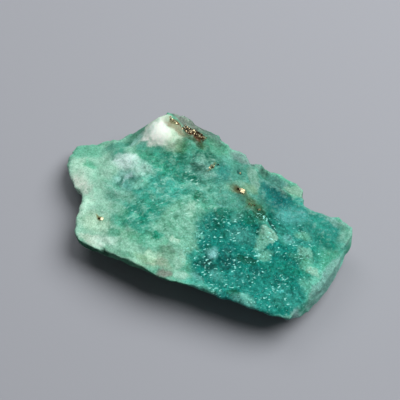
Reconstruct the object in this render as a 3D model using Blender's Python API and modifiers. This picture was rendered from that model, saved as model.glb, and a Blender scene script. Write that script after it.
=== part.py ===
"""Rough green hauyne: one grown slab of stone with a white crystal knob, a back ledge, a left lobe
and small pyrite cubes, standing on a small flat spot.

Metres, +Z up. The origin is at the bottom centre of the stone, +X runs along its length.
Sizes in the tables below are millimetres, measured from that origin.
"""

import math

import bmesh
import bpy
from mathutils import Euler, Vector, noise
from mathutils.bvhtree import BVHTree

MM = 0.001

# Driving dimensions
LENGTH = 41.3
WIDTH = 24.6
HEIGHT = 7.8

BLANK_HEIGHT = 10.0     # the block before its top is carved
GRID = 0.45             # cell of the remeshed surface
FACES_KEPT = 7400       # triangles left after the surface is thinned
FLAT_SPOT_DEPTH = 0.15  # taken off the lowest point to give it a flat to stand on
CALM_HEIGHT = 0.5       # the roughness fades out below this height, down to the flat spot

# Rim of the stone seen from above, anticlockwise from the front left corner: x, y, and how far
# the wall under that point is drawn in at its waist and at its foot (less than 0 is outwards)
RIM = [
    (-10.9, -12.5, 0.0, 3.4), (-7.7, -12.1, 0.0, 3.8), (-5.0, -11.8, 0.0, 3.8),
    (-2.1, -11.4, 0.1, 3.8), (1.2, -11.3, 0.5, 3.8), (3.4, -10.9, 0.9, 4.0), (6.7, -9.7, 0.9, 4.0),
    (10.2, -9.1, 0.9, 4.0), (13.5, -8.2, 0.9, 3.8), (16.2, -7.5, 0.8, 3.4), (18.5, -6.6, 0.3, 1.6),
    (18.8, -5.0, -0.3, -1.0), (19.2, -2.9, -0.5, -1.3), (19.6, -1.0, -0.5, -1.4),
    (19.9, 1.2, -0.5, -1.4), (19.8, 3.6, -0.5, -1.3), (19.5, 5.9, -0.5, -1.2),
    (19.5, 7.9, -0.4, -0.9), (19.1, 9.4, -0.3, -0.4), (18.0, 9.7, 0.1, 1.0),
    (16.7, 10.1, 0.1, 1.2), (16.0, 9.3, 0.1, 1.2), (13.7, 9.0, 0.1, 1.2), (11.7, 8.5, 0.1, 1.0),
    (11.1, 10.4, 0.1, 0.8), (10.5, 11.9, 0.1, 1.2), (9.4, 12.2, 0.1, 1.4), (6.4, 12.4, 0.1, 1.5),
    (4.5, 11.5, 0.1, 1.5), (2.2, 10.2, 0.1, 1.5), (0.8, 11.2, 0.1, 1.4), (-1.0, 10.6, 0.1, 1.4),
    (-2.8, 11.2, 0.1, 1.4), (-4.0, 12.3, 0.1, 1.4), (-6.3, 11.6, 0.1, 1.5),
    (-8.6, 11.5, 0.1, 1.5), (-10.4, 10.4, 0.1, 1.5), (-11.4, 10.2, 0.1, 1.4),
    (-12.6, 8.8, 0.1, 1.2), (-13.1, 8.1, 0.1, 1.2), (-14.4, 7.4, 0.1, 1.2),
    (-15.3, 5.7, 0.1, 1.2), (-15.4, 4.2, 0.1, 1.2), (-17.0, 3.6, 0.1, 1.0),
    (-18.2, 2.4, 0.1, 1.0), (-19.7, 1.6, 0.1, 1.0), (-21.0, 0.4, 0.1, 1.2),
    (-20.8, -1.4, 0.1, 1.2), (-19.9, -3.1, 0.1, 1.2), (-18.1, -5.0, 0.1, 1.2),
    (-16.3, -6.2, 0.1, 1.0), (-14.7, -6.0, 0.0, 0.6), (-14.3, -7.2, 0.0, 0.8),
    (-13.7, -9.4, 0.1, 1.2), (-12.8, -11.2, 0.0, 1.4), (-12.0, -11.9, 0.0, 2.2),
]
WAIST_SHARE = 0.75      # height of the waist as a share of the wall's height

# Faces of the top: x, y, z of one point and the rise per millimetre along X and along Y.
# The lowest of them shapes the slab.
SLAB_FACES = {
    "plateau": (4.0, 0.0, 6.15, -0.030, 0.025),
    "left_slope": (-9.5, 0.0, 5.95, 0.210, 0.075),
    "lobe_back": (-16.2, -0.7, 4.60, 0.460, -0.180),
    "back_bevel": (-7.0, 10.3, 6.75, 0.120, -0.900),
    "front_right_fall": (18.0, -4.0, 5.30, -0.160, 0.100),
}
# The lowest of these shapes the white crystal knob, which stands on the slab.
KNOB_FACES = {
    "top": (-10.8, 7.6, 7.90, 0.040, 0.050),
    "left": (-12.3, 8.0, 7.80, 1.000, 0.480),
    "front": (-10.3, 5.9, 7.70, -0.420, 0.850),
    "right": (-9.7, 7.9, 7.80, -0.560, -0.270),
    "back": (-11.6, 9.7, 7.80, 0.500, -1.100),
}
# The highest of these shapes the ledge behind the plateau: its floor and two risers.
LEDGE_FACES = {
    "floor": (7.0, 11.2, 4.35, -0.050, -0.060),
    "riser_front": (7.0, 9.3, 6.10, 0.090, -1.700),
    "riser_left": (3.8, 11.4, 6.20, -1.400, -0.250),
}

# Lumps (positive) and pits (negative) on the top: x, y, radius, height
TOP_LUMPS = {
    "pale_lump": (-11.9, 1.8, 1.5, 0.70),
    "pale_lump_tail": (-9.9, 2.4, 1.0, 0.30),
    "lobe_lump": (-16.4, -3.6, 1.9, 0.45),
    "left_hollow": (-11.0, -1.6, 1.5, -0.75),
    "left_hollow_tail": (-10.4, -4.2, 1.3, -0.40),
    "knob_foot_pit": (-10.9, 4.2, 1.2, -0.45),
    "knob_side_pit": (-7.6, 6.6, 1.0, -0.40),
    "left_pyrite_cup": (-10.4, -8.3, 0.7, -0.25),
    "front_left_facet": (-8.5, -11.0, 1.6, -0.30),
    "small_pyrite_lump": (-3.2, 6.3, 1.4, 0.40),
    "teal_pit": (-3.4, 4.1, 1.2, -0.35),
    "back_pit": (-3.3, 8.7, 1.1, -0.30),
    "pale_band_lump": (-1.0, 0.2, 1.3, 0.30),
    "grey_lump": (0.2, -7.4, 1.2, 0.35),
    "gold_lump": (3.4, 6.3, 1.1, 0.45),
    "valley_lump": (6.4, 3.6, 1.7, 0.45),
    "triangle_lump": (9.9, 2.4, 1.3, 0.30),
    "round_lump": (5.2, -4.2, 1.1, 0.40),
    "deep_pit": (7.6, -4.6, 1.1, -0.40),
    "pit_left_of_lump": (2.8, -1.4, 1.2, -0.30),
    "front_lump": (9.4, -4.6, 1.4, 0.30),
    "right_pit": (14.0, 0.2, 1.6, -0.35),
    "right_lump": (15.6, 3.0, 1.3, 0.30),
    "end_lump": (18.0, 1.0, 1.1, 0.25),
    "corner_lump": (18.4, 8.0, 1.3, 0.25),
}
# Grooves along the top: two ends, half width, depth
GROOVES = {
    "valley": ((7.0, 5.3), (11.2, 3.6), 0.55, 0.50),
    "valley_side": ((4.6, 4.2), (5.4, 1.6), 0.40, 0.25),
    "ledge_foot": ((5.6, 9.0), (7.6, 7.4), 0.50, 0.30),
    "back_step": ((-4.0, 11.4), (-2.2, 9.8), 0.40, 0.35),
    "left_seam": ((-14.3, 3.4), (-13.4, 6.4), 0.50, 0.40),
}

# Breaks under the stone: a point of the break's lower edge, the direction it faces as degrees
# from +X, and the rise in degrees
UNDER_BREAKS = {
    "front": ((0.0, -4.9), -80, 25),
    "front_right": ((8.0, -3.6), -52, 19),
    "right": ((9.8, 0.0), 4, 13),
    "back_right": ((7.5, 3.2), 58, 16),
    "back": ((0.0, 4.2), 92, 17),
    "back_left": ((-6.0, 3.6), 130, 16),
    "left": ((-7.8, 0.0), 182, 9),
    "front_left": ((-6.2, -4.0), -130, 18),
}

# Roughness: size of the grains and how far they stand out
COARSE_GRAIN, COARSE_DEPTH = 5.2, 0.30
CHIP_GRAIN, CHIP_DEPTH = 2.6, 0.30

# Pyrite cubes on the top: x, y, edge, and turns in degrees about X, Y and Z
PYRITE_CUBES = [
    (-10.6, 9.6, 0.55, 20, 35, 10),
    (-8.0, 9.9, 0.70, 15, 28, 50),
    (-7.3, 9.6, 0.60, 35, 20, 15),
    (-6.6, 9.9, 0.80, 28, 40, 65),
    (-5.8, 9.7, 0.65, 12, 24, 35),
    (-5.2, 9.9, 0.55, 44, 16, 80),
    (-1.9, 6.8, 0.60, 30, 25, 20),
    (3.6, 6.0, 0.80, 32, 22, 12),
    (5.6, 4.7, 0.60, 14, 36, 40),
    (7.2, 5.0, 0.60, 38, 18, 70),
    (-10.3, -8.3, 0.55, 22, 30, 25),
]
CUBE_SUNK = 0.35        # share of a cube's edge by which its middle lies under the surface


def clear_scene():
    for obj in list(bpy.data.objects):
        bpy.data.objects.remove(obj, do_unlink=True)


def new_collection(name):
    collection = bpy.data.collections.new(name)
    bpy.context.scene.collection.children.link(collection)
    return collection


def stone_material():
    material = bpy.data.materials.new("hauyne")
    material.use_nodes = True
    shader = material.node_tree.nodes["Principled BSDF"]
    shader.inputs["Base Color"].default_value = (0.075, 0.34, 0.26, 1.0)
    shader.inputs["Roughness"].default_value = 0.42
    shader.inputs["Metallic"].default_value = 0.0
    shader.inputs["IOR"].default_value = 1.5
    return material


def face_height(face, x, y):
    px, py, pz, rise_x, rise_y = face
    return pz + rise_x * (x - px) + rise_y * (y - py)


def groove_depth(groove, x, y):
    (ax, ay), (bx, by), half_width, depth = groove
    along = Vector((bx - ax, by - ay))
    to_point = Vector((x - ax, y - ay))
    share = min(max(to_point.dot(along) / along.length_squared, 0.0), 1.0)
    distance = (to_point - along * share).length
    return depth * math.exp(-((distance / half_width) ** 2))


def top_height(x, y):
    """Height of the top at a point of the plan, in millimetres."""
    slab = min(face_height(face, x, y) for face in SLAB_FACES.values())
    slab = min(slab, max(face_height(face, x, y) for face in LEDGE_FACES.values()))
    height = max(slab, min(face_height(face, x, y) for face in KNOB_FACES.values()))
    for px, py, radius, lump in TOP_LUMPS.values():
        height += lump * math.exp(-((x - px) ** 2 + (y - py) ** 2) / radius ** 2)
    for groove in GROOVES.values():
        height -= groove_depth(groove, x, y)
    return height


def wall_ring(bm, share, drawn_in):
    """One closed ring of the wall, at a share of its height, with each point drawn in."""
    verts = []
    for index, point in enumerate(RIM):
        before, after = RIM[index - 1], RIM[(index + 1) % len(RIM)]
        inward = Vector((before[1] - after[1], after[0] - before[0], 0.0)).normalized()
        rim = Vector((point[0], point[1], share * BLANK_HEIGHT))
        verts.append(bm.verts.new((rim + inward * drawn_in[index]) * MM))
    edges = [bm.edges.new((verts[i - 1], verts[i])) for i in range(len(verts))]
    return verts, edges


def block_from_rim():
    """A block with the outline of the rim, whose wall draws in from the rim to its foot."""
    bm = bmesh.new()
    top, top_edges = wall_ring(bm, 1.0, [0.0] * len(RIM))
    _, waist_edges = wall_ring(bm, WAIST_SHARE, [point[2] for point in RIM])
    foot, foot_edges = wall_ring(bm, 0.0, [point[3] for point in RIM])
    bmesh.ops.bridge_loops(bm, edges=top_edges + waist_edges)
    bmesh.ops.bridge_loops(bm, edges=waist_edges + foot_edges)
    bm.faces.new(top)
    bm.faces.new(foot)
    bmesh.ops.recalc_face_normals(bm, faces=bm.faces[:])
    return bm


def with_modifier(bm, kind, settings):
    """The mesh after one modifier."""
    mesh = bpy.data.meshes.new("work")
    bm.to_mesh(mesh)
    bm.free()
    obj = bpy.data.objects.new("work", mesh)
    bpy.context.scene.collection.objects.link(obj)
    modifier = obj.modifiers.new(kind.title(), kind)
    for name, value in settings.items():
        setattr(modifier, name, value)
    evaluated = obj.evaluated_get(bpy.context.evaluated_depsgraph_get())
    result = bmesh.new()
    result.from_mesh(evaluated.to_mesh())
    evaluated.to_mesh_clear()
    bpy.data.objects.remove(obj, do_unlink=True)
    bpy.data.meshes.remove(mesh)
    return result


def regrid(bm):
    return with_modifier(bm, "REMESH", {"mode": "VOXEL", "voxel_size": GRID * MM})


def carve_top(bm):
    """Bring each column of the block to the height of the top over it."""
    for vert in bm.verts:
        share = vert.co.z / (BLANK_HEIGHT * MM)
        vert.co.z = share * top_height(vert.co.x / MM, vert.co.y / MM) * MM


def break_off(bm, point, outward):
    """Take away what lies outside a plane and close the cut with a flat face."""
    everything = bm.verts[:] + bm.edges[:] + bm.faces[:]
    bmesh.ops.bisect_plane(
        bm, geom=everything, dist=1e-7, plane_co=point, plane_no=outward, clear_outer=True
    )
    open_edges = [edge for edge in bm.edges if edge.is_boundary]
    bmesh.ops.holes_fill(bm, edges=open_edges, sides=0)


def break_underside(bm):
    for (x, y), facing, rise in UNDER_BREAKS.values():
        heading, slope = math.radians(facing), math.radians(rise)
        outward = Vector((
            math.cos(heading) * math.sin(slope),
            math.sin(heading) * math.sin(slope),
            -math.cos(slope),
        ))
        break_off(bm, Vector((x, y, 0.0)) * MM, outward)


def roughness(point):
    """How far the broken surface stands out at a point, both in millimetres."""
    coarse = noise.noise(point / COARSE_GRAIN) * COARSE_DEPTH
    chips = noise.voronoi(point / CHIP_GRAIN)[0]
    chip = (chips[1] - chips[0] - 0.35) * CHIP_DEPTH
    return coarse + chip


def roughen(bm):
    bm.normal_update()
    for vert, normal in [(vert, vert.normal.copy()) for vert in bm.verts]:
        fade = min(max(vert.co.z / (CALM_HEIGHT * MM), 0.0), 1.0)
        vert.co += normal * roughness(vert.co / MM) * fade * MM


def thin_out(bm):
    bmesh.ops.triangulate(bm, faces=bm.faces[:])
    ratio = FACES_KEPT / len(bm.faces)
    return with_modifier(bm, "DECIMATE", {"decimate_type": "COLLAPSE", "ratio": ratio})


def cut_flat_spot(bm):
    lowest = min(vert.co.z for vert in bm.verts)
    level = lowest + FLAT_SPOT_DEPTH * MM
    break_off(bm, Vector((0.0, 0.0, level)), Vector((0.0, 0.0, -1.0)))


def fit_to_size(bm):
    """Scale to the driving dimensions and set the origin at the bottom centre."""
    low = Vector([min(vert.co[axis] for vert in bm.verts) for axis in range(3)])
    high = Vector([max(vert.co[axis] for vert in bm.verts) for axis in range(3)])
    size = high - low
    target = Vector((LENGTH, WIDTH, HEIGHT)) * MM
    foot = Vector(((low.x + high.x) / 2, (low.y + high.y) / 2, low.z))
    bmesh.ops.translate(bm, verts=bm.verts[:], vec=-foot)
    scale = Vector([target[axis] / size[axis] for axis in range(3)])
    bmesh.ops.scale(bm, verts=bm.verts[:], vec=scale)


def stone_object(bm, collection):
    mesh = bpy.data.meshes.new("hauyne_stone")
    bm.to_mesh(mesh)
    bm.free()
    mesh.shade_smooth()
    mesh.set_sharp_from_angle(angle=math.radians(35))
    stone = bpy.data.objects.new("hauyne_stone", mesh)
    stone.data.materials.append(stone_material())
    collection.objects.link(stone)
    return stone


def pyrite_cube(surface, cube, cutters):
    x, y, edge, turn_x, turn_y, turn_z = cube
    hit = surface.ray_cast(Vector((x, y, 2 * BLANK_HEIGHT)) * MM, Vector((0.0, 0.0, -1.0)))[0]
    bm = bmesh.new()
    bmesh.ops.create_cube(bm, size=edge * MM)
    mesh = bpy.data.meshes.new("pyrite_cube")
    bm.to_mesh(mesh)
    bm.free()
    grain = bpy.data.objects.new("pyrite_cube", mesh)
    grain.location = hit - Vector((0.0, 0.0, CUBE_SUNK * edge * MM))
    grain.rotation_euler = Euler([math.radians(turn) for turn in (turn_x, turn_y, turn_z)])
    grain.hide_render = True
    grain.display_type = "WIRE"
    cutters.objects.link(grain)
    return grain


def fuse_pyrite(stone, cutters):
    surface = BVHTree.FromObject(stone, bpy.context.evaluated_depsgraph_get())
    for cube in PYRITE_CUBES:
        joint = stone.modifiers.new("Pyrite", "BOOLEAN")
        joint.operation = "UNION"
        joint.solver = "EXACT"
        joint.object = pyrite_cube(surface, cube, cutters)


def main():
    clear_scene()
    collection = new_collection("green_hauyne")
    cutters = new_collection("cutters")
    bm = regrid(block_from_rim())
    carve_top(bm)
    break_underside(bm)
    bm = regrid(bm)
    roughen(bm)
    bm = thin_out(bm)
    cut_flat_spot(bm)
    fit_to_size(bm)
    stone = stone_object(bm, collection)
    fuse_pyrite(stone, cutters)


main()
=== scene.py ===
import math
import random
import bmesh
import bpy
from mathutils import Matrix, Vector, noise
from mathutils.bvhtree import BVHTree


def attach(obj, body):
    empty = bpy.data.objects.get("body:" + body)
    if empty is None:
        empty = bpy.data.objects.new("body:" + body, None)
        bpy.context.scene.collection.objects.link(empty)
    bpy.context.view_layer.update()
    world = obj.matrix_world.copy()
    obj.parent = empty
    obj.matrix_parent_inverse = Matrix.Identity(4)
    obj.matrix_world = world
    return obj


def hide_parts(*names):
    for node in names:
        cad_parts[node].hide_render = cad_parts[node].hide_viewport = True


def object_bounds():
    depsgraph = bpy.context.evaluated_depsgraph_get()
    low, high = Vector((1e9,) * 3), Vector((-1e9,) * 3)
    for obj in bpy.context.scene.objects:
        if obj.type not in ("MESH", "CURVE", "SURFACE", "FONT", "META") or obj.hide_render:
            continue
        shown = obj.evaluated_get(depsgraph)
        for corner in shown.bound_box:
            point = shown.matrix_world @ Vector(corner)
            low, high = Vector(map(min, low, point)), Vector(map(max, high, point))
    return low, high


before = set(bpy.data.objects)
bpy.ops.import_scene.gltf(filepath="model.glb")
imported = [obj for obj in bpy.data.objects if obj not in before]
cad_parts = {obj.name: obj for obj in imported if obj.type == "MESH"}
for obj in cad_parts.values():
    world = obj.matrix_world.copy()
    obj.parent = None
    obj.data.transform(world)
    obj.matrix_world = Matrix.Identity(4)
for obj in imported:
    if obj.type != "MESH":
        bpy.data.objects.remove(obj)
cadLow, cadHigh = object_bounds()
mm = 0.001
print("frame loaded")


def linear(hexText):
    channels = [int(hexText[i:i + 2], 16) / 255 for i in (1, 3, 5)]
    return [c / 12.92 if c <= 0.04045 else ((c + 0.055) / 1.055) ** 2.4 for c in channels] + [1.0]


def addNode(tree, kind, settings=None, links=None):
    node = tree.nodes.new(kind)
    for name, value in (settings or {}).items():
        if isinstance(name, int) or name in node.inputs:
            node.inputs[name].default_value = value
        else:
            setattr(node, name, value)
    for name, source in (links or {}).items():
        tree.links.new(source, node.inputs[name])
    return node


def newMaterial(name):
    material = bpy.data.materials.new(name)
    material.use_nodes = True
    tree = material.node_tree
    tree.nodes.clear()
    coordinates = addNode(tree, "ShaderNodeTexCoord")
    place = addNode(tree, "ShaderNodeVectorMath", {"operation": "SCALE", "Scale": 1.0 / mm}, {
        0: coordinates.outputs["Object"],
    }).outputs[0]
    return material, tree, place    # place is in mm


def afterModifier(bm, kind, settings):
    mesh = bpy.data.meshes.new("work")
    bm.to_mesh(mesh)
    bm.free()
    holder = bpy.data.objects.new("work", mesh)
    bpy.context.scene.collection.objects.link(holder)
    modifier = holder.modifiers.new(kind.title(), kind)
    for name, value in settings.items():
        setattr(modifier, name, value)
    evaluated = holder.evaluated_get(bpy.context.evaluated_depsgraph_get())
    result = bmesh.new()
    result.from_mesh(evaluated.to_mesh())
    evaluated.to_mesh_clear()
    bpy.data.objects.remove(holder, do_unlink=True)
    bpy.data.meshes.remove(mesh)
    return result


def addPiece(bm, name, materials):
    mesh = bpy.data.meshes.new(name)
    bm.to_mesh(mesh)
    bm.free()
    piece = bpy.data.objects.new(name, mesh)
    bpy.context.scene.collection.objects.link(piece)
    for material in materials:
        mesh.materials.append(material)
    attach(piece, "root")
    return piece


# Pyrite. Its cubes are listed before the stone, because the stone is levelled under them. Lengths in mm

pyrite = {
    # the larger cubes, where the solid has them: x, y, edge, turns about X, Y and Z in degrees
    "cubes": [
        (-10.6, 9.6, 0.26, 20, 35, 10), (-8.0, 9.9, 0.26, 15, 38, 50), (-7.3, 9.6, 0.28, 35, 20, 15),
        (-6.6, 9.9, 0.30, 28, 40, 65), (-5.8, 9.7, 0.28, 32, 24, 35), (-5.2, 9.9, 0.24, 44, 16, 80),
        (-1.9, 6.8, 0.22, 30, 25, 20), (3.8, 5.8, 0.60, 16, 13, 12), (5.6, 4.7, 0.26, 34, 36, 40),
        (7.2, 4.8, 0.24, 38, 18, 70), (-10.2, -8.0, 0.38, 15, 14, 25),
    ],
    # strips of small grains: both ends, half width, how many, smallest and largest edge
    "strips": {
        "main": ((-8.0, 9.6), (-5.0, 9.8), 0.45, 260, 0.07, 0.20),
        "trail": ((-10.5, 9.3), (-8.3, 9.3), 0.14, 34, 0.08, 0.22),
        "small": ((-1.9, 6.1), (-1.2, 7.7), 0.14, 16, 0.08, 0.20),
        "gold": ((3.0, 5.7), (3.5, 5.8), 0.12, 10, 0.10, 0.22),
        "stain": ((5.2, 4.9), (7.6, 4.3), 0.35, 14, 0.07, 0.16),
        "left": ((-10.8, -8.1), (-10.4, -8.1), 0.10, 6, 0.08, 0.20),
        "speck": ((1.95, 8.1), (2.15, 8.1), 0.12, 6, 0.10, 0.22),
    },
    "seed": 11,
    "sunk": 0.2, "bevel": 0.05,     # shares of a cube's edge: how deep it sits, how its edges are worn
    # each finish: colour, roughness. The larger cubes have the first
    "finishes": {
        "fresh_pyrite": ("#e4d6ac", 0.30),
        "tarnished_pyrite": ("#54402c", 0.38),
        "weathered_pyrite": ("#2a1f18", 0.50),
    },
    "kinds": (0, 0, 1, 1, 2, 2, 2),     # a small grain's finish is drawn from these: 0 is the first
    "stainSize": 0.25, "stainDetail": 3.0, "stainFrom": 0.5, "stainTo": 0.7, "stainShare": 0.7,
    "stainColour": "#4a2f18", "stainRough": 0.2,    # what a stain adds to the roughness
    # striation, about 0.1 mm apart: coarser than the real lines, so that it shows
    "lineScale": 3.0, "lineBend": 1.0, "lineDepth": 0.02, "lineStrength": 0.3,
}

# Stone, lengths in mm: its broken shape, then its look

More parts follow.
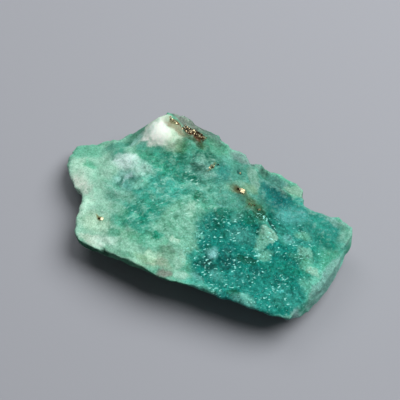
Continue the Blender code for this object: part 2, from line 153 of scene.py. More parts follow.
stone = {
    "seed": 3,              # of the noise: without one, Blender draws it from the clock and no two runs agree
    "weld": 0.001,          # corners of the solid that are nearer than this are one
    "cell": 0.17,           # the surface is meshed this fine
    "topFrom": 3.0,         # what lies higher belongs to the top
    "dropFrom": 20.0,       # the top is looked for from this high
    "rimHeight": 5.0,       # taken as the height of a mark whose middle is off the stone
    "levelReach": 0.8, "levelSteps": 80,    # round a pyrite cube the stone is levelled this far out
    "crispSteps": 20, "crispShare": 0.9,    # edges rounded by the meshing are brought back out
    # how broad and how deep: swells, then bowls, chips and grain
    "swell": 3.4, "swellDepth": 0.12,
    "scoop": 2.1, "scoopDepth": 0.09,
    "chip": 0.95, "chipDepth": 0.05, "chipShift": (31.0, 7.0, 3.0),     # so that chips and scoops differ
    "bowlLean": 0.8, "bowlLeanDraw": 7.3, "bowlLevel": 0.35,    # each bowl leans its own way
    "grain": 0.5, "grainDepth": 0.05,
    "grainDetail": (0.9, 2.1, 2),           # falloff, how much finer each layer is, layers
    "warp": 2.7, "warpReach": 0.5,          # the outlines of bowls and chips wander
    "steepFrom": 0.85, "wallCalm": 0.7,     # faces whose normal has a lower Z are calmer, by up to this share
    "ridgeSteps": 10,       # how far round a point is looked at to tell ridges from hollows
    "calmHeight": 0.35,     # the relief fades out below this, down to the flat it stands on
    # where the broken face is rougher or calmer: x, y, radius, share added to the relief
    "roughPlaces": {
        "sugaryRight": (9.5, -2.5, 8.5, 0.8),
        "waxyLeft": (-14.5, -5.5, 5.5, -0.45),
        "waxyLobe": (-18.5, -1.0, 3.5, -0.35),
        "knob": (-10.6, 7.2, 2.4, -0.75),
        "calmEdge": (19.5, 2.0, 2.8, -0.35),
    },
    # where the stone is softly rounded: x, y, radius, smoothing steps
    "softPlaces": {
        "knob": (-11.5, 6.6, 3.4, 120),
        "paleLump": (-12.0, 1.4, 2.4, 100),
    },
    # colours, from broad zones down to single flecks: x, y, radius along, radius across, turn in degrees,
    # colour, strength, softness of the edge
    "zones": {
        "leftMint": (-14.5, -5.5, 9.0, 6.0, 90, "#90c0aa", 1.00, 0.21),
        "tealCentre": (-6.2, -0.5, 8.5, 4.0, 95, "#34927e", 1.00, 0.24),
        "paleBand": (-0.2, -5.0, 6.5, 2.7, 100, "#72ae96", 0.95, 0.21),
        "frontMint": (-6.0, -10.4, 7.0, 1.6, -5, "#8fc3aa", 0.90, 0.24),
        "backGreen": (1.5, 6.0, 6.5, 4.0, 20, "#478b7c", 0.90, 0.24),
        "deepTeal": (10.4, -2.6, 8.8, 5.9, -8, "#07766b", 1.00, 0.12),
        "deepCorner": (6.4, -7.2, 2.2, 2.2, 0, "#0b7a6e", 1.00, 0.20),
        "deepFront": (12.0, -6.9, 7.5, 1.7, 15, "#148075", 1.00, 0.20),
        "backRight": (14.0, 6.2, 7.0, 3.6, 5, "#2a8579", 1.00, 0.15),
        "rightRim": (19.6, 2.0, 8.0, 1.5, 90, "#71c6ae", 0.90, 0.30),
    },
    "patches": {
        "knob": (-10.9, 7.2, 2.5, 2.2, 60, "#bcd4be", 1.00, 0.11),
        # white crystal, painted lighter on its left side and foot where its slope is in shade
        "knobLeftPaintedLight": (-11.8, 6.3, 1.8, 1.3, 80, "#ebf8ef", 0.95, 0.50),
        "knobFootPaintedLight": (-10.8, 5.5, 1.6, 0.8, 0, "#f2f7ee", 0.90, 0.50),
        "knobCore": (-10.2, 7.0, 2.0, 1.1, 120, "#e9f1e6", 1.00, 0.30),
        "oliveBesideKnob": (-8.3, 7.3, 1.9, 1.2, 110, "#cbdfc6", 0.85, 0.55),
        "darkOlive": (-6.9, 6.7, 1.5, 0.9, 100, "#2c653e", 0.75, 0.60),
        "darkGreen": (-7.1, 4.8, 1.6, 1.1, 20, "#166853", 0.75, 0.60),
        "khakiTrail": (-8.9, 8.7, 2.0, 0.6, 0, "#8e8a70", 0.90, 0.48),
        "pyriteShade": (-5.6, 8.8, 2.0, 0.6, 0, "#304529", 0.95, 0.50),
        "backBevel": (-8.0, 10.8, 4.2, 1.0, 0, "#7b7672", 0.85, 0.22),
        "backBevelGreen": (-4.2, 10.9, 1.8, 0.9, -10, "#5e7770", 0.80, 0.22),
        "knobTip": (-11.3, 10.3, 0.8, 0.6, 0, "#93a394", 0.80, 0.40),
        "underKnob": (-9.4, 3.0, 2.2, 0.9, 0, "#388970", 0.85, 0.40),
        "underKnobLeft": (-11.7, 4.1, 0.9, 0.7, 0, "#4a9d89", 0.80, 0.28),
        "dimSlope": (-14.0, 5.6, 1.8, 1.1, 80, "#598f7b", 0.85, 0.37),
        "lobeTeal": (-14.9, 2.9, 2.2, 0.9, 45, "#2f816f", 0.80, 0.60),
        "slopeVeil": (-13.2, 4.5, 1.3, 0.5, 75, "#9acec0", 0.80, 0.50),
        "slopeTeal": (-14.1, 1.7, 1.2, 0.8, 45, "#2c8570", 0.90, 0.60),
        "lobeGreen": (-18.6, 0.3, 2.4, 1.5, 15, "#6bb297", 0.90, 0.37),
        "lobePale": (-17.6, -2.7, 2.3, 1.2, -25, "#aad6be", 0.90, 0.37),
        "lobeShade": (-16.5, -1.7, 0.9, 0.6, 0, "#5fae8e", 0.85, 0.60),
        "lobeRosy": (-16.2, -4.8, 1.7, 1.2, -30, "#ced1c6", 0.70, 0.70),
        "paleLump": (-12.3, 1.1, 1.6, 1.2, 10, "#d4f1eb", 0.90, 0.50),
        "paleLumpTail": (-9.8, 1.1, 1.5, 1.0, 0, "#c0f1e1", 0.85, 0.60),
        "hollow": (-11.0, -1.4, 1.8, 1.6, 90, "#85c0b5", 0.80, 0.28),
        "hollowLeft": (-11.5, -1.9, 0.9, 0.6, 90, "#1e6253", 0.80, 0.28),
        "hollowRight": (-10.1, -1.2, 1.0, 0.8, 90, "#569f94", 0.80, 0.28),
        "hollowStreak": (-10.9, -0.6, 0.8, 0.3, 60, "#cbf1f1", 0.65, 0.60),
        "greyMint": (-11.0, -4.0, 1.6, 1.3, 30, "#397767", 0.75, 0.48),
        "slopeGrey": (-12.2, -2.8, 1.3, 0.9, 0, "#5f9e8a", 0.70, 0.60),
        "tealDeepA": (-7.8, -1.8, 1.3, 0.7, 80, "#46a090", 0.70, 0.33),
        "tealDeepB": (-5.2, -4.7, 1.4, 0.8, 80, "#0f846f", 0.75, 0.28),
        "tealDeepC": (-8.0, -6.2, 1.1, 0.9, 20, "#44977b", 0.70, 0.28),
        "tealDeepD": (-7.6, -9.0, 0.9, 0.5, 20, "#46a384", 0.70, 0.28),
        "tealDeepH": (-4.5, -8.3, 1.1, 0.8, 0, "#479a7b", 0.70, 0.50),
        "tealDeepE": (-3.2, 3.7, 1.7, 0.5, 5, "#036e5a", 0.85, 0.28),
        "tealDeepF": (-3.2, 7.6, 1.8, 1.2, 10, "#135c4a", 0.90, 0.40),
        "tealDeepG": (0.0, 7.4, 1.6, 0.9, 100, "#197871", 0.75, 0.28),
        "tealBright": (-5.4, 0.3, 2.5, 1.8, 20, "#429b8d", 0.70, 0.33),
        "mintCentre": (-8.7, -0.8, 1.2, 0.8, 20, "#99e7cf", 0.70, 0.60),
        "mintLeft": (-9.2, -3.4, 1.4, 0.9, 0, "#88bba8", 0.70, 0.60),
        "mintLeftLow": (-9.2, -5.6, 1.0, 0.8, 0, "#93c9b3", 0.70, 0.50),
        "tealMiddleA": (-0.3, 3.4, 2.2, 1.3, 15, "#57a490", 0.70, 0.60),
        "tealMiddleB": (0.3, 6.1, 1.8, 1.2, 0, "#3b877c", 0.70, 0.60),
        "greyMottle": (-2.0, 5.6, 1.5, 0.9, 0, "#5d897e", 0.70, 0.48),
        "darkOval": (-0.75, 1.4, 1.1, 0.65, 110, "#04674f", 0.80, 0.22),
        "greenSpot": (-2.2, -6.2, 0.9, 0.8, 0, "#148e73", 0.90, 0.19),
        "frontTriangle": (-9.4, -11.1, 2.6, 0.6, 15, "#b1c4b2", 0.85, 0.40),
        "frontPale": (-8.0, -10.5, 1.8, 0.8, 15, "#c5e2d3", 0.80, 0.60),
        "leftPale": (-10.8, -8.8, 2.0, 1.3, 0, "#b8dcc0", 0.85, 0.60),
        # painted shade: the front-left wall under the rim, dark as it lies in shadow
        "frontLeftPaintedShade": (-8.4, -12.7, 2.6, 0.55, 15, "#1b2c28", 0.90, 0.50),
        "leftRimPale": (-13.6, -7.7, 2.2, 1.0, 90, "#c0ebd2", 0.80, 0.50),
        "bandPaleA": (-0.6, -0.5, 1.2, 0.6, 100, "#a4d2bc", 0.75, 0.48),
        "bandPaleB": (0.0, -5.7, 0.8, 0.6, 0, "#a7c9b4", 0.80, 0.48),
        "bandPaleC": (2.2, -7.6, 1.6, 0.8, 110, "#99c6af", 0.75, 0.50),
        "greyLump": (0.3, -7.8, 1.3, 1.2, 0, "#68947c", 0.85, 0.35),
        "rosyFront": (-0.6, -9.7, 2.0, 0.8, 15, "#9ead94", 0.75, 0.50),
        "bandPaleD": (-1.2, -9.0, 1.2, 0.6, 15, "#abd0b4", 0.75, 0.50),
        "bandPaleE": (2.4, -3.1, 0.7, 0.5, 0, "#7cc4b2", 0.60, 0.50),
        "oliveFront": (-2.0, -10.1, 1.2, 0.5, 15, "#70a782", 0.60, 0.50),
        "frontGreen": (-4.6, -11.0, 1.4, 0.5, 15, "#4f8b72", 0.80, 0.50),
        "frontRimMiddle": (-1.5, -11.0, 1.2, 0.4, 15, "#8fbd9f", 0.70, 0.50),
        "greyFront": (1.6, -10.4, 1.2, 0.6, 30, "#73726b", 0.90, 0.45),
        "deepA": (3.2, 1.5, 1.2, 0.9, 20, "#036654", 0.85, 0.22),
        "deepB": (3.6, 0.3, 1.3, 0.9, 90, "#036151", 0.80, 0.28),
        "deepC": (5.3, -1.0, 0.8, 0.5, 90, "#036355", 0.85, 0.28),
        "deepD": (6.9, -2.7, 1.1, 0.8, 70, "#036560", 0.85, 0.28),
        "deepE": (7.8, -4.2, 1.8, 0.8, 30, "#035c57", 0.95, 0.30),
        "deepF": (5.4, -6.2, 1.8, 0.9, 5, "#034f48", 0.95, 0.25),
        "deepG": (9.8, -2.6, 1.6, 0.5, 20, "#035546", 0.90, 0.22),
        "deepH": (12.7, -1.8, 1.2, 0.6, 0, "#037667", 0.85, 0.28),
        "deepI": (14.6, -2.9, 0.9, 0.5, 0, "#035f57", 0.85, 0.28),
        "deepJ": (14.5, -0.5, 1.5, 0.8, 10, "#037a6a", 0.85, 0.28),
        "deepK": (16.8, 0.0, 1.2, 0.8, 0, "#037f6c", 0.85, 0.37),
        "deepL": (13.1, 1.8, 1.6, 0.7, 15, "#038076", 0.85, 0.48),
        "deepM": (8.0, 8.0, 2.9, 1.5, -15, "#036362", 0.90, 0.45),
        "deepN": (9.3, 4.6, 1.3, 0.9, 0, "#037768", 0.90, 0.48),
        "deepO": (17.3, 5.8, 1.9, 0.7, 0, "#037464", 0.85, 0.48),
        "deepP": (10.8, -7.6, 1.0, 0.6, 10, "#035f46", 0.80, 0.28),
        "deepQ": (3.7, -3.2, 1.3, 0.5, 90, "#036f66", 0.80, 0.28),
        "deepS": (3.4, -6.0, 1.0, 0.9, 0, "#1a8c7e", 0.80, 0.40),
        "deepT": (17.9, 2.2, 0.9, 0.7, 0, "#2f9580", 0.70, 0.50),
        "deepR": (17.0, 3.6, 1.4, 1.1, 0, "#137c69", 0.80, 0.50),
        "sugaryA": (7.3, 0.2, 2.0, 1.0, 10, "#3f8f85", 0.75, 0.48),
        # painted glints: a pale spot where a cluster of glints sparkles
        "paintedGlintSpot": (5.2, -4.3, 0.85, 0.7, 0, "#8cc9c9", 0.90, 0.60),
        "sugaryB": (9.9, -5.3, 1.2, 0.9, 0, "#3a9590", 0.30, 0.50),
        "sugaryC": (7.5, -6.6, 0.9, 0.7, 0, "#5baca4", 0.60, 0.50),
        "sugaryD": (5.4, -8.4, 0.9, 0.5, 0, "#69aca4", 0.80, 0.50),
        "sugaryE": (12.3, -7.7, 1.4, 0.8, 15, "#82cfbe", 0.80, 0.50),
        "sugaryF": (11.6, -3.1, 1.1, 0.6, 20, "#035c56", 0.75, 0.48),
        "sugaryG": (11.3, 6.4, 1.8, 1.2, 30, "#55aaa4", 0.75, 0.48),
        "sugaryH": (12.7, 3.2, 0.9, 0.6, 0, "#64ada5", 0.80, 0.48),
        "sugaryJ": (16.8, -3.9, 1.8, 1.2, 20, "#3fa093", 0.45, 0.60),
        "triangle": (10.1, 2.2, 1.5, 0.9, 5, "#7ead9a", 0.95, 0.11),
        "triangleFoot": (10.0, 1.0, 1.4, 1.0, 100, "#7dbea7", 0.80, 0.30),
        "triangleNext": (11.3, -0.7, 1.0, 0.6, 60, "#65a993", 0.90, 0.40),
        "paleRightA": (15.6, 2.8, 1.1, 0.7, 0, "#7cbea8", 0.90, 0.37),
        "paleRightB": (14.3, 4.8, 1.0, 0.6, 0, "#68ac93", 0.80, 0.48),
        "paleRightC": (17.9, 1.0, 0.8, 0.5, 0, "#90c0aa", 0.95, 0.37),
        "paleRightD": (17.7, -1.0, 0.9, 0.5, 0, "#5cab96", 0.85, 0.48),
        "paleRightE": (19.0, 4.6, 1.0, 0.9, 0, "#347f68", 0.85, 0.37),
        "paleRightF": (19.0, 8.0, 1.1, 1.0, 0, "#69a18f", 0.85, 0.37),
        "paleRightG": (18.8, 3.7, 1.4, 1.1, 0, "#3d9379", 0.85, 0.60),
        "backEdgeRight": (17.0, 9.2, 2.2, 0.5, 0, "#83a8a0", 0.60, 0.50),
        "paleStreak": (4.0, 8.3, 2.3, 0.6, -50, "#75a08e", 0.80, 0.28),
        "ringDark": (6.7, 3.0, 1.2, 1.1, 90, "#036954", 0.85, 0.22),
        "ringLump": (5.4, 2.2, 1.0, 0.7, 60, "#4a9080", 0.80, 0.48),
        "goldOlive": (6.5, 4.7, 1.9, 0.8, -15, "#47643e", 0.85, 0.60),
        "stainDark": (7.6, 4.3, 1.5, 0.7, -15, "#084733", 0.95, 0.50),
        "goldPale": (2.6, 5.8, 1.3, 0.9, 20, "#7fb597", 0.65, 0.70),
        "goldGreen": (4.6, 6.8, 1.2, 0.6, 0, "#779e7e", 0.70, 0.50),
        "goldBrown": (3.4, 5.75, 1.2, 0.5, 0, "#6f6540", 0.85, 0.60),
        # painted shade: a dark line along the groove
        "valleyPaintedShade": (10.0, 3.9, 1.6, 0.22, -38, "#03342f", 0.85, 0.33),
        "backOlive": (2.3, 10.1, 0.9, 0.3, 0, "#2d4b38", 0.80, 0.28),
        "backMint": (-0.2, 8.8, 1.6, 0.8, 0, "#60ac99", 0.75, 0.50),
        "backRimLeft": (-4.4, 10.2, 2.6, 0.6, -5, "#3e745c", 0.80, 0.50),
        "backRimMiddle": (1.2, 10.3, 2.6, 0.6, 0, "#708886", 0.80, 0.50),
        "backRimRight": (4.4, 10.5, 1.3, 0.7, 0, "#5f8379", 0.75, 0.50),
        "ledgeRim": (7.6, 10.8, 2.6, 0.8, 0, "#6b8d87", 0.80, 0.50),
        "ledgeGrey": (6.6, 10.2, 1.8, 1.4, 90, "#468076", 0.90, 0.22),
        "ledgeLine": (8.6, 9.1, 1.4, 0.4, -15, "#124940", 0.80, 0.50),
        "ledgePale": (9.9, 10.7, 1.5, 1.3, 0, "#7fa792", 0.95, 0.30),
        "frontEdgeRight": (11.5, -8.7, 8.0, 0.45, 16, "#1c6967", 0.60, 0.40),
        "frontEdgeLeft": (6.3, -9.3, 2.2, 0.8, 10, "#4dab9b", 0.80, 0.50),
        "frontPaleRight": (3.5, -9.3, 1.0, 0.6, 20, "#a4cfbd", 0.75, 0.50),
        "endCorner": (19.6, -5.2, 1.2, 1.0, 0, "#9dbdbc", 0.75, 0.50),
        "pyriteStain": (-6.6, 9.7, 2.0, 0.55, 0, "#3b2a16", 0.95, 0.22),
        "pyriteRust": (-6.2, 9.2, 1.3, 0.35, 0, "#562e17", 0.75, 0.50),
        "pyriteStainTrail": (-9.6, 9.3, 1.2, 0.22, 0, "#6e6040", 0.85, 0.33),
        "pyriteStainSmall": (-1.6, 6.7, 0.9, 0.3, 70, "#5d6f50", 0.80, 0.33),
        "pyriteStainLeft": (-10.5, -8.0, 0.5, 0.35, 0, "#85834c", 0.85, 0.28),
        "darkSpeck": (2.05, 8.1, 0.3, 0.3, 0, "#123e3c", 0.80, 0.60),
        "endFace": (20.7, 0.5, 9.0, 1.0, 90, "#72a097", 0.90, 0.17),
    },
    "cracks": {
        "crackA": (12.0, 7.7, 1.9, 0.09, 25, "#5f9792", 0.7, 0.7),
        "crackB": (1.8, 2.1, 1.6, 0.09, 30, "#6ba6a9", 0.6, 0.7),
        "crackC": (-2.4, 0.4, 1.6, 0.10, 25, "#3b9b85", 0.5, 0.7),
        "crackD": (15.5, -3.4, 2.6, 0.10, 28, "#7bf0f1", 0.20, 0.7),
        "crackE": (12.5, -5.9, 2.2, 0.10, 22, "#6dcec1", 0.25, 0.7),
        "crackF": (-12.6, -3.4, 1.8, 0.10, -20, "#9fc1b5", 0.5, 0.7),
    },
    # where the stone breaks in its own way: x, y, radius along, radius across, turn, softness of the edge
    "breaks": {
        "sugary": (10.6, -1.8, 9.8, 7.2, 25, 0.15),
        "streaky": (-4.0, -1.0, 9.0, 6.0, 80, 0.4),
        "front": (-3.0, -12.6, 13.0, 3.2, 5, 0.2),
        "back": (3.0, 13.0, 20.0, 4.5, 0, 0.2),
        "crystal": (-10.9, 7.0, 2.7, 2.3, 60, 0.2),
    },
    "drawing": {
        "turnStep": 15,                 # degrees between the directions that patches are drawn out along
        "stretches": (1.0, 1.7, 3.0),   # how many times longer than wide they are
        "zoneStretches": (1.0, 1.7),
        "crackStretches": (18.0,),
        "zoneDepth": 0.05, "patchDepth": 0.30,  # a millimetre of depth counts as this much of one on the top
        # their outlines wander, in loops within loops: size and reach in mm, detail
        "swirl": (1.7, 1.3, 1.0), "ragged": (0.6, 0.8, 4.0), "loose": (3.0, 2.0, 1.0),
        # what lies below them all
        "cloudSize": 5.0, "cloudDetail": 4.0, "cloudDark": "#2f8a72", "cloudPale": "#6cb396",
    },
    # grain. Each noise: size in mm, detail, roughness, drawn out along, turn in degrees. Speck, which places
    # the painted glints, and tooth are coarser than the real sugary grain, so that they show
    "noises": {
        "mottle": (1.6, 5.0, 0.6, 1.0, 0),
        "blob": (1.2, 2.0, 0.5, 1.0, 0),
        "fleck": (0.42, 3.0, 0.6, 1.0, 0),
        "streak": (0.32, 3.0, 0.6, 3.0, 50),
        "speck": (0.22, 1.0, 0.5, 2.0, 40),
        "tooth": (0.22, 4.0, 0.7, 1.0, 0),
    },
    "cluster": 0.5,     # how strongly the blobs gather the specks
    # what is mixed over the zones and patches: source, break it is kept to, from, to, strength, blend, colour
    "overlays": {
        "mintClouds": ("mottle", "waxy", 0.52, 0.72, 0.50, "SOFT_LIGHT", "#cdf0dd"),
        "greenClouds": ("mottle", None, 0.48, 0.28, 0.60, "MULTIPLY", "#8fc4b0"),
        "tealBlobs": ("blob", "streaky", 0.54, 0.62, 0.40, "MULTIPLY", "#86bcab"),
        "mintBlobs": ("blob", "streaky", 0.46, 0.38, 0.25, "MIX", "#9fd6c0"),
        "shadeBlobs": ("blob", "waxy", 0.55, 0.62, 0.25, "MULTIPLY", "#9fc8b8"),
        "paleVeins": ("fleck", "waxy", 0.58, 0.80, 0.25, "MIX", "#c6e6d6"),
        # paler where the surface stands out of its surroundings
        "paleRidges": ("ridge", "waxy", 0.01, 0.05, 0.15, "MIX", "#b4e0cd"),
        # painted shade: darker in the hollows of the broken surface
        "hollowPaintedShade": ("ridge", None, -0.01, -0.05, 0.40, "MULTIPLY", "#86bcae"),
        # steep front walls darker: a deeper green and painted shade
        "frontWallGreenAndShade": ("wall", "front", 0.20, 0.60, 0.85, "MULTIPLY", "#5c9080"),
        "backWall": ("wall", "back", 0.12, 0.50, 0.80, "MULTIPLY", "#77a898"),
        "paleStreaks": ("streak", "streaky", 0.56, 0.74, 0.45, "MIX", "#9adac6"),
        "darkStreaks": ("streak", "streaky", 0.46, 0.30, 0.60, "MULTIPLY", "#86bcae"),
        # painted glints: bright short strokes in the streaky teal
        "paintedGlintStreaks": ("streak", "streaky", 0.65, 0.74, 0.65, "MIX", "#c2eadd"),
        "paleGrains": ("fleck", "sugary", 0.54, 0.74, 0.50, "MIX", "#45ac9c"),
        "darkGaps": ("fleck", "sugary", 0.50, 0.32, 0.65, "MULTIPLY", "#62a598"),
        "fineDark": ("tooth", "grainy", 0.50, 0.30, 0.62, "MULTIPLY", "#86b8aa"),
        "finePale": ("tooth", "grainy", 0.50, 0.70, 0.62, "SOFT_LIGHT", "#e8fff6"),
        # painted glints: pale specks where the sugary facets would catch the light
        "paintedGlintSpecks": ("cluster", "sugary", 0.905, 0.99, 0.90, "MIX", "#98e6da"),
    },
    # small cleavage faces, each turned its own way and more so where the stone is sugary, and a finer tooth
    "facets": {
        "size": 0.4, "leanWaxy": 0.10, "leanSugary": 0.45, "smoothest": 0.6, "roughest": 1.0,
        "toothStrength": 0.3, "toothDepth": 0.05,
    },
    "body": {
        "ior": 1.5, "specular": 0.15,       # dull: broken, never polished
        "lightInside": 0.1, "lightReach": 0.8, "lightColour": (0.5, 1.0, 0.8),
    },
}


def roughnessShare(x, y, normal):
    share = 1.0
    for px, py, radius, added in stone["roughPlaces"].values():
        share += added * math.exp(-((x - px) ** 2 + (y - py) ** 2) / radius ** 2)
    wall = 1.0 - min(max(normal.z / stone["steepFrom"], 0.0), 1.0)
    return share * (1.0 - stone["wallCalm"] * wall)


def scoops(point, size):
    # chips struck from the stone: bowls with sharp ridges where they meet
    distances, centres = noise.voronoi(point / size)
    lowest = math.inf
    for distance, centre in zip(distances, centres):
        tilt = noise.cell_vector(centre * stone["bowlLeanDraw"]) - Vector((0.5, 0.5, 0.5))
        lowest = min(lowest, distance * distance + tilt.dot(point / size - centre) * stone["bowlLean"])
    return lowest - stone["bowlLevel"]


def relief(point, normal):
    warped = point + noise.noise_vector(point / stone["warp"]) * stone["warpReach"]
    height = noise.noise(point / stone["swell"]) * stone["swellDepth"]
    height += scoops(warped, stone["scoop"]) * stone["scoopDepth"]
    height += scoops(warped + Vector(stone["chipShift"]), stone["chip"]) * stone["chipDepth"]
    height += noise.fractal(point / stone["grain"], *stone["grainDetail"]) * stone["grainDepth"]
    return height * roughnessShare(point.x, point.y, normal)


def smoothVerts(bm, verts, steps):
    for step in range(steps):
        bmesh.ops.smooth_vert(bm, verts=verts, factor=0.5, use_axis_x=True, use_axis_y=True, use_axis_z=True)


def topVerts(bm, spots, radius):
    return [vert for vert in bm.verts if vert.co.z > stone["topFrom"] * mm and any(
        math.hypot(vert.co.x - x * mm, vert.co.y - y * mm) < radius * mm for x, y in spots)]


def smoothedPlaces(bm, steps):
    calm = bm.copy()
    smoothVerts(calm, calm.verts[:], steps)
    places = [vert.co.copy() for vert in calm.verts]
    calm.free()
    return places


def stoneShape():
    bm = bmesh.new()
    bm.from_mesh(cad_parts["hauyne_stone"].data)
    bmesh.ops.remove_doubles(bm, verts=bm.verts[:], dist=stone["weld"] * mm)
    bm = afterModifier(bm, "REMESH", {"mode": "VOXEL", "voxel_size": stone["cell"] * mm})
    underCubes = topVerts(bm, [cube[:2] for cube in pyrite["cubes"]], stone["levelReach"])
    smoothVerts(bm, underCubes, stone["levelSteps"])
    for x, y, radius, steps in stone["softPlaces"].values():
        smoothVerts(bm, topVerts(bm, [(x, y)], radius), steps)
    smoothVerts(bm, bm.verts[:], 1)
    for vert, place in zip(bm.verts, smoothedPlaces(bm, stone["crispSteps"])):
        vert.co += (vert.co - place) * stone["crispShare"]
    bm.normal_update()
    moves = []
    for vert in bm.verts:
        fade = min(max(vert.co.z / mm / stone["calmHeight"], 0.0), 1.0)
        moves.append(vert.normal * relief(vert.co / mm, vert.normal) * fade * mm)
    for vert, move in zip(bm.verts, moves):
        vert.co += move
        for axis in range(3):
            vert.co[axis] = min(max(vert.co[axis], cadLow[axis]), cadHigh[axis])
    return bm


def markShape(bm):
    # for the material: how far each point stands out of its surroundings, in mm, and how steep it is
    ridge = bm.verts.layers.float.new("ridge")
    wall = bm.verts.layers.float.new("wall")
    bm.normal_update()
    for vert, place in zip(bm.verts, smoothedPlaces(bm, stone["ridgeSteps"])):
        vert[ridge] = (vert.co - place).dot(vert.normal) / mm
        vert[wall] = 1.0 - vert.normal.z


noise.seed_set(stone["seed"])
stoneMesh = stoneShape()
markShape(stoneMesh)
stoneTree = BVHTree.FromBMesh(stoneMesh)
print("stone shaped:", len(stoneMesh.verts), "points")


def topPoint(x, y):
    above = Vector((x, y, stone["dropFrom"])) * mm
    return stoneTree.ray_cast(above, Vector((0.0, 0.0, -1.0)))[0]


def placeReach(tree, copies, place, spot, stretch, turn, depth):
    # How far a point is from the spot. The patches share a few turned and drawn out copies of the
    # coordinates, because a shader holds only so many of them at once.
    if (turn, stretch, depth) not in copies:
        copies[turn, stretch, depth] = addNode(tree, "ShaderNodeMapping", {
            "vector_type": "TEXTURE", "Rotation": (0.0, 0.0, math.radians(turn)),
            "Scale": (stretch, 1.0, 1.0 / depth),
        }, {"Vector": place}).outputs[0]
    middle = Matrix.Rotation(math.radians(-turn), 3, "Z") @ Vector(spot)
    return addNode(tree, "ShaderNodeVectorMath", {
        "operation": "DISTANCE", 1: (middle.x / stretch, middle.y, middle.z * depth),
    }, {0: copies[turn, stretch, depth]}).outputs["Value"]


def paintPatches(tree, colour, place, table, depth, stretches):
    copies = {}
    turnStep = stone["drawing"]["turnStep"]
    for name, (x, y, along, across, turn, shade, strength, soft) in table.items():
        stretch = min(stretches, key=lambda s: abs(math.log(s * across / along)))
        turn = round(turn / turnStep) * turnStep % 180 if stretch > 1 else 0
        radius = math.sqrt(along * across / stretch)
        top = topPoint(x, y)
        spot = (x, y, top.z / mm if top else stone["rimHeight"])
        reach = placeReach(tree, copies, place, spot, stretch, turn, depth)
        share = addNode(tree, "ShaderNodeMapRange", {
            "label": name, "interpolation_type": "SMOOTHSTEP", "From Min": radius * (1.0 + soft),
            "From Max": radius * (1.0 - soft), "To Min": 0.0, "To Max": strength,
        }, {"Value": reach})
        colour = addNode(tree, "ShaderNodeMixRGB", {"Color2": linear(shade)}, {
            "Fac": share.outputs[0], "Color1": colour,
        }).outputs[0]
    return colour


def warpedPlace(tree, place, size, reach, detail):
    wander = addNode(tree, "ShaderNodeTexNoise", {"Scale": 1.0 / size, "Detail": detail}, {"Vector": place})
    centred = addNode(tree, "ShaderNodeVectorMath", {"operation": "SUBTRACT", 1: (0.5, 0.5, 0.5)}, {
        0: wander.outputs["Color"],
    })
    return addNode(tree, "ShaderNodeVectorMath", {"operation": "MULTIPLY_ADD", 1: (reach, reach, reach)}, {
        0: centred.outputs[0], 2: place,
    }).outputs[0]


def stoneNoises(tree, place):
    found = {}
    for name in ("ridge", "wall"):
        found[name] = addNode(tree, "ShaderNodeAttribute", {"attribute_name": name}).outputs["Fac"]
    for name, (size, detail, roughness, stretch, turn) in stone["noises"].items():
        drawn = addNode(tree, "ShaderNodeMapping", {
            "vector_type": "TEXTURE", "Rotation": (0.0, 0.0, math.radians(turn)),
            "Scale": (size * stretch, size, size),
        }, {"Vector": place})
        found[name] = addNode(tree, "ShaderNodeTexNoise", {
            "Scale": 1.0, "Detail": detail, "Roughness": roughness,
        }, {"Vector": drawn.outputs[0]}).outputs["Fac"]
    # specks are closer together in places
    found["cluster"] = addNode(tree, "ShaderNodeMath", {"operation": "MULTIPLY_ADD", 1: stone["cluster"]}, {
        0: found["blob"], 2: found["speck"],
    }).outputs[0]
    return found


def stoneBreaks(tree, place):
    found = {}
    for name, (x, y, along, across, turn, soft) in stone["breaks"].items():
        spot = (x, y, stone["rimHeight"])
        reach = placeReach(tree, {}, place, spot, along / across, turn, stone["drawing"]["zoneDepth"])
        found[name] = addNode(tree, "ShaderNodeMapRange", {
            "interpolation_type": "SMOOTHSTEP",
            "From Min": across * (1.0 + soft), "From Max": across * (1.0 - soft),
        }, {"Value": reach}).outputs[0]
    for name, other in (("waxy", "sugary"), ("grainy", "crystal")):
        found[name] = addNode(tree, "ShaderNodeMath", {"operation": "SUBTRACT", 0: 1.0}, {
            1: found[other],
        }).outputs[0]
    return found


def stoneColour(tree, place, ragged, loose, sources, kept):
    drawing = stone["drawing"]
    cloud = addNode(tree, "ShaderNodeTexNoise", {
        "Scale": 1 / drawing["cloudSize"], "Detail": drawing["cloudDetail"],
    }, {"Vector": place})
    colour = addNode(tree, "ShaderNodeMixRGB", {
        "Color1": linear(drawing["cloudDark"]), "Color2": linear(drawing["cloudPale"]),
    }, {"Fac": cloud.outputs["Fac"]}).outputs[0]
    for table, where, depth, stretches in (
        ("zones", loose, "zoneDepth", "zoneStretches"),
        ("patches", ragged, "patchDepth", "stretches"),
        ("cracks", loose, "patchDepth", "crackStretches"),
    ):
        colour = paintPatches(tree, colour, where, stone[table], drawing[depth], drawing[stretches])
    for name, (source, keptTo, low, high, strength, blend, shade) in stone["overlays"].items():
        share = addNode(tree, "ShaderNodeMapRange", {
            "label": name, "From Min": low, "From Max": high, "To Max": strength,
        }, {"Value": sources[source]}).outputs[0]
        if keptTo:
            share = addNode(tree, "ShaderNodeMath", {"operation": "MULTIPLY"}, {
                0: share, 1: kept[keptTo],
            }).outputs[0]
        colour = addNode(tree, "ShaderNodeMixRGB", {"blend_type": blend, "Color2": linear(shade)}, {
            "Fac": share, "Color1": colour,
        }).outputs[0]
    return colour


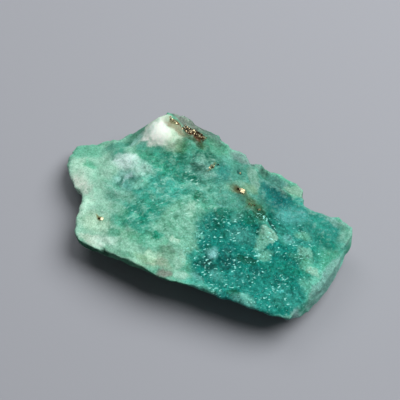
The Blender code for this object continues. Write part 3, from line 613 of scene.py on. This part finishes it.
def stoneFacets(tree, place, tooth, sugary):
    facets = stone["facets"]
    cells = addNode(tree, "ShaderNodeTexVoronoi", {"Scale": 1 / facets["size"]}, {"Vector": place})
    lean = addNode(tree, "ShaderNodeVectorMath", {"operation": "SUBTRACT", 1: (0.5, 0.5, 0.5)}, {
        0: cells.outputs["Color"],
    })
    leanSize = addNode(tree, "ShaderNodeMapRange", {
        "To Min": facets["leanWaxy"], "To Max": facets["leanSugary"],
    }, {"Value": sugary})
    leaned = addNode(tree, "ShaderNodeVectorMath", {"operation": "SCALE"}, {
        0: lean.outputs[0], "Scale": leanSize.outputs[0],
    })
    surface = addNode(tree, "ShaderNodeNewGeometry")
    turned = addNode(tree, "ShaderNodeVectorMath", {"operation": "ADD"}, {
        0: surface.outputs["Normal"], 1: leaned.outputs[0],
    })
    faces = addNode(tree, "ShaderNodeVectorMath", {"operation": "NORMALIZE"}, {0: turned.outputs[0]})
    bumps = addNode(tree, "ShaderNodeBump", {
        "Strength": facets["toothStrength"], "Distance": facets["toothDepth"] * mm,
    }, {"Height": tooth, "Normal": faces.outputs[0]})
    polish = addNode(tree, "ShaderNodeSeparateColor", None, {0: cells.outputs["Color"]})
    rough = addNode(tree, "ShaderNodeMapRange", {
        "To Min": facets["smoothest"], "To Max": facets["roughest"],
    }, {"Value": polish.outputs[0]})
    return bumps.outputs[0], rough.outputs[0]


def hauyneMaterial():
    # rough hauyne, broken and not polished: a waxy to sugary green stone that lets a little light in
    material, tree, place = newMaterial("rough_hauyne")
    swirled = warpedPlace(tree, place, *stone["drawing"]["swirl"])
    ragged = warpedPlace(tree, swirled, *stone["drawing"]["ragged"])
    loose = warpedPlace(tree, ragged, *stone["drawing"]["loose"])
    sources = stoneNoises(tree, place)
    kept = stoneBreaks(tree, loose)
    colour = stoneColour(tree, place, ragged, loose, sources, kept)
    normal, rough = stoneFacets(tree, place, sources["tooth"], kept["sugary"])
    body = stone["body"]
    shader = addNode(tree, "ShaderNodeBsdfPrincipled", {
        "IOR": body["ior"], "Specular IOR Level": body["specular"], "Subsurface Weight": body["lightInside"],
        "Subsurface Radius": body["lightColour"], "Subsurface Scale": body["lightReach"] * mm,
    }, {"Base Color": colour, "Roughness": rough, "Normal": normal})
    addNode(tree, "ShaderNodeOutputMaterial", None, {"Surface": shader.outputs[0]})
    return material


stonePiece = addPiece(stoneMesh, "green_hauyne", [hauyneMaterial()])
stonePiece.data.shade_smooth()
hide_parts("hauyne_stone")
print("stone coloured")


def addCube(bm, x, y, edge, turns, kind):
    turn = Matrix.Identity(4)
    for axis, angle in zip("ZYX", reversed(turns)):
        turn = turn @ Matrix.Rotation(math.radians(angle), 4, axis)
    middle = topPoint(x, y) - Vector((0.0, 0.0, pyrite["sunk"] * edge * mm))
    made = bmesh.ops.create_cube(bm, size=edge * mm, matrix=Matrix.Translation(middle) @ turn)["verts"]
    edges = list({e for vert in made for e in vert.link_edges})
    for face in {f for vert in made for f in vert.link_faces}:
        face.material_index = kind
    bmesh.ops.bevel(
        bm, geom=edges, offset=pyrite["bevel"] * edge * mm, segments=1, profile=0.5,
        affect="EDGES", material=-1)


def pyriteShape():
    chance = random.Random(pyrite["seed"])
    bm = bmesh.new()
    for x, y, edge, *turns in pyrite["cubes"]:
        addCube(bm, x, y, edge, turns, 0)
    for (ax, ay), (bx, by), half, count, least, most in pyrite["strips"].values():
        for grain in range(count):
            share = chance.random()
            x = ax + (bx - ax) * share + chance.uniform(-half, half)
            y = ay + (by - ay) * share + chance.uniform(-half, half)
            edge = least + (most - least) * chance.random() ** 2    # mostly small
            turns = [chance.uniform(0, 90) for axis in range(3)]
            addCube(bm, x, y, edge, turns, chance.choice(pyrite["kinds"]))
    return bm


def pyriteMaterial(name, colour, roughness):
    # pyrite cubes, grown and striated: brassy glints that turn dark as the faces turn away
    material, tree, place = newMaterial(name)
    tarnish = addNode(tree, "ShaderNodeTexNoise", {
        "Scale": 1 / pyrite["stainSize"], "Detail": pyrite["stainDetail"],
    }, {"Vector": place})
    stained = addNode(tree, "ShaderNodeMapRange", {
        "From Min": pyrite["stainFrom"], "From Max": pyrite["stainTo"], "To Max": pyrite["stainShare"],
    }, {"Value": tarnish.outputs["Fac"]})
    tint = addNode(tree, "ShaderNodeMixRGB", {
        "Color1": linear(colour), "Color2": linear(pyrite["stainColour"]),
    }, {"Fac": stained.outputs[0]})
    lines = addNode(tree, "ShaderNodeTexWave", {
        "Scale": pyrite["lineScale"], "Distortion": pyrite["lineBend"],
    }, {"Vector": place})
    bump = addNode(tree, "ShaderNodeBump", {
        "Strength": pyrite["lineStrength"], "Distance": pyrite["lineDepth"] * mm,
    }, {"Height": lines.outputs["Fac"]})
    rough = addNode(tree, "ShaderNodeMapRange", {
        "To Min": roughness, "To Max": roughness + pyrite["stainRough"],
    }, {"Value": tarnish.outputs["Fac"]})
    shader = addNode(tree, "ShaderNodeBsdfPrincipled", {"Metallic": 1.0}, {
        "Base Color": tint.outputs[0], "Roughness": rough.outputs[0], "Normal": bump.outputs[0],
    })
    addNode(tree, "ShaderNodeOutputMaterial", None, {"Surface": shader.outputs[0]})
    return material


pyriteMaterials = [pyriteMaterial(name, *finish) for name, finish in pyrite["finishes"].items()]
addPiece(pyriteShape(), "pyrite_grains", pyriteMaterials)
print("pyrite grains set")

# Floor, light and camera, lengths in mm

studio = {
    "floorSize": 900, "floorColour": "#999ba1", "floorRoughness": 0.9, "floorSpecular": 0.2,
    "floorDrop": 0.01,      # just below the stone, so that the two faces don't meet
    "keyFacing": (0.46, 0.88), "keyRise": 56, "keyDistance": 400, "keyWidth": 370, "keyPower": 2.18,
    "fillFacing": (-0.85, 0.52), "fillRise": 52, "fillDistance": 400, "fillWidth": 260, "fillPower": 0.42,
    "worldColour": "#dfe3e8", "worldStrength": 0.12,
}
photoView = {
    "target": (-0.65, 2.06, 4.71), "azimuth": 26.0, "elevation": 62.5, "roll": 7.2, "distance": 138.9,
    "lens": 90, "sensor": 36, "nearest": 5,
}


def addFloor():
    bm = bmesh.new()
    bmesh.ops.create_grid(bm, x_segments=1, y_segments=1, size=studio["floorSize"] / 2 * mm)
    bmesh.ops.translate(bm, verts=bm.verts[:], vec=(0.0, 0.0, -studio["floorDrop"] * mm))
    mesh = bpy.data.meshes.new("floor")
    bm.to_mesh(mesh)
    bm.free()
    floor = bpy.data.objects.new("floor", mesh)
    bpy.context.scene.collection.objects.link(floor)
    material = bpy.data.materials.new("pale_paper_floor")   # matt paper: even, with hardly any shine
    material.use_nodes = True
    shader = material.node_tree.nodes["Principled BSDF"]
    shader.inputs["Base Color"].default_value = linear(studio["floorColour"])
    shader.inputs["Roughness"].default_value = studio["floorRoughness"]
    shader.inputs["Specular IOR Level"].default_value = studio["floorSpecular"]
    mesh.materials.append(material)


def addSoftbox(name):
    light = bpy.data.lights.new(name, "AREA")
    light.shape = "DISK"
    light.size = studio[name + "Width"] * mm
    light.energy = studio[name + "Power"]
    lamp = bpy.data.objects.new(name, light)
    bpy.context.scene.collection.objects.link(lamp)
    rise = math.radians(studio[name + "Rise"])
    heading = Vector(studio[name + "Facing"]).normalized() * math.cos(rise)
    direction = Vector((heading.x, heading.y, math.sin(rise)))
    lamp.location = direction * studio[name + "Distance"] * mm
    lamp.rotation_euler = (-direction).to_track_quat("-Z", "Y").to_euler()


def addWorld():
    world = bpy.data.worlds.new("studio")
    bpy.context.scene.world = world
    world.use_nodes = True
    background = world.node_tree.nodes["Background"]
    background.inputs["Color"].default_value = linear(studio["worldColour"])
    background.inputs["Strength"].default_value = studio["worldStrength"]


def addCamera():
    camera = bpy.data.objects.new("camera", bpy.data.cameras.new("camera"))
    bpy.context.scene.collection.objects.link(camera)
    camera.data.lens = photoView["lens"]
    camera.data.sensor_width = photoView["sensor"]
    camera.data.clip_start = photoView["nearest"] * mm
    tilt = Matrix.Rotation(math.radians(90 - photoView["elevation"]), 4, "X")
    turn = Matrix.Rotation(math.radians(photoView["azimuth"]), 4, "Z") @ tilt
    turn = turn @ Matrix.Rotation(math.radians(photoView["roll"]), 4, "Z")
    back = turn.to_3x3() @ Vector((0.0, 0.0, 1.0))
    place = (Vector(photoView["target"]) + back * photoView["distance"]) * mm
    camera.matrix_world = Matrix.Translation(place) @ turn
    bpy.context.scene.camera = camera


addFloor()
addSoftbox("key")
addSoftbox("fill")
addWorld()
addCamera()
bpy.context.scene.view_settings.view_transform = "Standard"
print("floor, lights and camera set")
